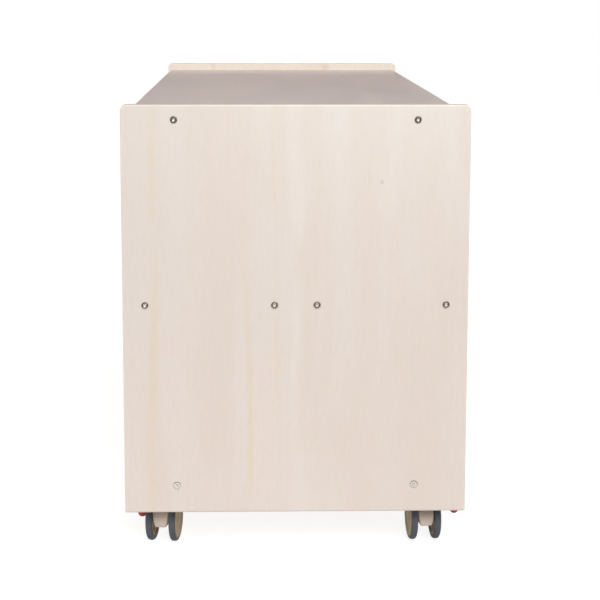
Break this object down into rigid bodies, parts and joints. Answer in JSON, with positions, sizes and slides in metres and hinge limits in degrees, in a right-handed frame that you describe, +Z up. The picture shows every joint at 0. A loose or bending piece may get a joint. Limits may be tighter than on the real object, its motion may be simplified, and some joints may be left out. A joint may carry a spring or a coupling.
{
  "type": "mobile storage unit",
  "caption": "Low double-sided plywood shelf unit on twin-wheel castors with brake levers, open along both long sides, with a tray-like top between raised end panels.",
  "frame": {"origin": "on the floor, under the middle of the unit", "axes": "+X across the unit, +Y along it from the front end to the back end, +Z up"},
  "size_m": [0.457, 1.219, 0.6075],
  "materials": {
    "birch_plywood": "clear satin lacquer",
    "beech_dowel": "raw",
    "nickel_screw": "nickel plated",
    "zinc_steel": "zinc plated",
    "beige_nylon": "fine moulded",
    "grey_tyre": "matt moulded",
    "red_nylon": "fine moulded"
  },
  "bodies": {
    "cabinet": {"end_panel_front": "birch_plywood", "end_panel_back": "birch_plywood", "top_board": "birch_plywood", "bottom_board": "birch_plywood", "middle_shelf_left": "birch_plywood", "middle_shelf_right": "birch_plywood", "centre_panel": "birch_plywood", "panel_screws": "nickel_screw", "board_dowels": "beech_dowel", "shelf_dowels": "beech_dowel", "castor_screws": "zinc_steel", "castor_front_left_plate": "zinc_steel", "castor_front_left_kingpin": "zinc_steel", "castor_front_right_plate": "zinc_steel", "castor_front_right_kingpin": "zinc_steel", "castor_back_right_plate": "zinc_steel", "castor_back_right_kingpin": "zinc_steel", "castor_back_left_plate": "zinc_steel", "castor_back_left_kingpin": "zinc_steel"},
    "castor_front_left": {"castor_front_left_hood": "beige_nylon", "castor_front_left_balls": "zinc_steel", "castor_front_left_axle": "zinc_steel", "castor_front_left_lever_pin": "zinc_steel"},
    "castor_front_left_left_wheel": {"castor_front_left_left_hub": "beige_nylon", "castor_front_left_left_tyre": "grey_tyre"},
    "castor_front_left_right_wheel": {"castor_front_left_right_hub": "beige_nylon", "castor_front_left_right_tyre": "grey_tyre"},
    "castor_front_left_lever": {"castor_front_left_brake_lever": "red_nylon"},
    "castor_front_right": {"castor_front_right_hood": "beige_nylon", "castor_front_right_balls": "zinc_steel", "castor_front_right_axle": "zinc_steel", "castor_front_right_lever_pin": "zinc_steel"},
    "castor_front_right_left_wheel": {"castor_front_right_left_hub": "beige_nylon", "castor_front_right_left_tyre": "grey_tyre"},
    "castor_front_right_right_wheel": {"castor_front_right_right_hub": "beige_nylon", "castor_front_right_right_tyre": "grey_tyre"},
    "castor_front_right_lever": {"castor_front_right_brake_lever": "red_nylon"},
    "castor_back_right": {"castor_back_right_hood": "beige_nylon", "castor_back_right_balls": "zinc_steel", "castor_back_right_axle": "zinc_steel", "castor_back_right_lever_pin": "zinc_steel"},
    "castor_back_right_left_wheel": {"castor_back_right_left_hub": "beige_nylon", "castor_back_right_left_tyre": "grey_tyre"},
    "castor_back_right_right_wheel": {"castor_back_right_right_hub": "beige_nylon", "castor_back_right_right_tyre": "grey_tyre"},
    "castor_back_right_lever": {"castor_back_right_brake_lever": "red_nylon"},
    "castor_back_left": {"castor_back_left_hood": "beige_nylon", "castor_back_left_balls": "zinc_steel", "castor_back_left_axle": "zinc_steel", "castor_back_left_lever_pin": "zinc_steel"},
    "castor_back_left_left_wheel": {"castor_back_left_left_hub": "beige_nylon", "castor_back_left_left_tyre": "grey_tyre"},
    "castor_back_left_right_wheel": {"castor_back_left_right_hub": "beige_nylon", "castor_back_left_right_tyre": "grey_tyre"},
    "castor_back_left_lever": {"castor_back_left_brake_lever": "red_nylon"}
  },
  "joints": [
    {"name": "front_left_swivel", "type": "hinge", "parent": "cabinet", "child": "castor_front_left", "pos_m": [-0.177, -0.5215, 0.0315], "axis": [0, 0, 1], "continuous": true},
    {"name": "front_left_left_wheel", "type": "hinge", "parent": "castor_front_left", "child": "castor_front_left_left_wheel", "pos_m": [-0.18009, -0.54126, 0.0315], "axis": [0.988, -0.1547, 0], "continuous": true},
    {"name": "front_left_right_wheel", "type": "hinge", "parent": "castor_front_left", "child": "castor_front_left_right_wheel", "pos_m": [-0.18009, -0.54126, 0.0315], "axis": [0.988, -0.1547, 0], "continuous": true},
    {"name": "front_left_brake", "type": "hinge", "parent": "castor_front_left", "child": "castor_front_left_lever", "pos_m": [-0.20908, -0.54279, 0.072], "axis": [0.1547, 0.988, 0], "range_deg": [0, 27]},
    {"name": "front_right_swivel", "type": "hinge", "parent": "cabinet", "child": "castor_front_right", "pos_m": [0.177, -0.5215, 0.0315], "axis": [0, 0, 1], "continuous": true},
    {"name": "front_right_left_wheel", "type": "hinge", "parent": "castor_front_right", "child": "castor_front_right_left_wheel", "pos_m": [0.17871, -0.54143, 0.0315], "axis": [0.9963, 0.0854, 0], "continuous": true},
    {"name": "front_right_right_wheel", "type": "hinge", "parent": "castor_front_right", "child": "castor_front_right_right_wheel", "pos_m": [0.17871, -0.54143, 0.0315], "axis": [0.9963, 0.0854, 0], "continuous": true},
    {"name": "front_right_brake", "type": "hinge", "parent": "castor_front_right", "child": "castor_front_right_lever", "pos_m": [0.20752, -0.54498, 0.072], "axis": [0.0854, -0.9963, 0], "range_deg": [-27, 0]},
    {"name": "back_right_swivel", "type": "hinge", "parent": "cabinet", "child": "castor_back_right", "pos_m": [0.177, 0.5215, 0.0315], "axis": [0, 0, 1], "continuous": true},
    {"name": "back_right_left_wheel", "type": "hinge", "parent": "castor_back_right", "child": "castor_back_right_left_wheel", "pos_m": [0.18009, 0.54126, 0.0315], "axis": [-0.988, 0.1547, 0], "continuous": true},
    {"name": "back_right_right_wheel", "type": "hinge", "parent": "castor_back_right", "child": "castor_back_right_right_wheel", "pos_m": [0.18009, 0.54126, 0.0315], "axis": [-0.988, 0.1547, 0], "continuous": true},
    {"name": "back_right_brake", "type": "hinge", "parent": "castor_back_right", "child": "castor_back_right_lever", "pos_m": [0.20908, 0.54279, 0.072], "axis": [-0.1547, -0.988, 0], "range_deg": [0, 27]},
    {"name": "back_left_swivel", "type": "hinge", "parent": "cabinet", "child": "castor_back_left", "pos_m": [-0.177, 0.5215, 0.0315], "axis": [0, 0, 1], "continuous": true},
    {"name": "back_left_left_wheel", "type": "hinge", "parent": "castor_back_left", "child": "castor_back_left_left_wheel", "pos_m": [-0.17871, 0.54143, 0.0315], "axis": [-0.9963, -0.0854, 0], "continuous": true},
    {"name": "back_left_right_wheel", "type": "hinge", "parent": "castor_back_left", "child": "castor_back_left_right_wheel", "pos_m": [-0.17871, 0.54143, 0.0315], "axis": [-0.9963, -0.0854, 0], "continuous": true},
    {"name": "back_left_brake", "type": "hinge", "parent": "castor_back_left", "child": "castor_back_left_lever", "pos_m": [-0.20752, 0.54498, 0.072], "axis": [-0.0854, 0.9963, 0], "range_deg": [-27, 0]}
  ]
}
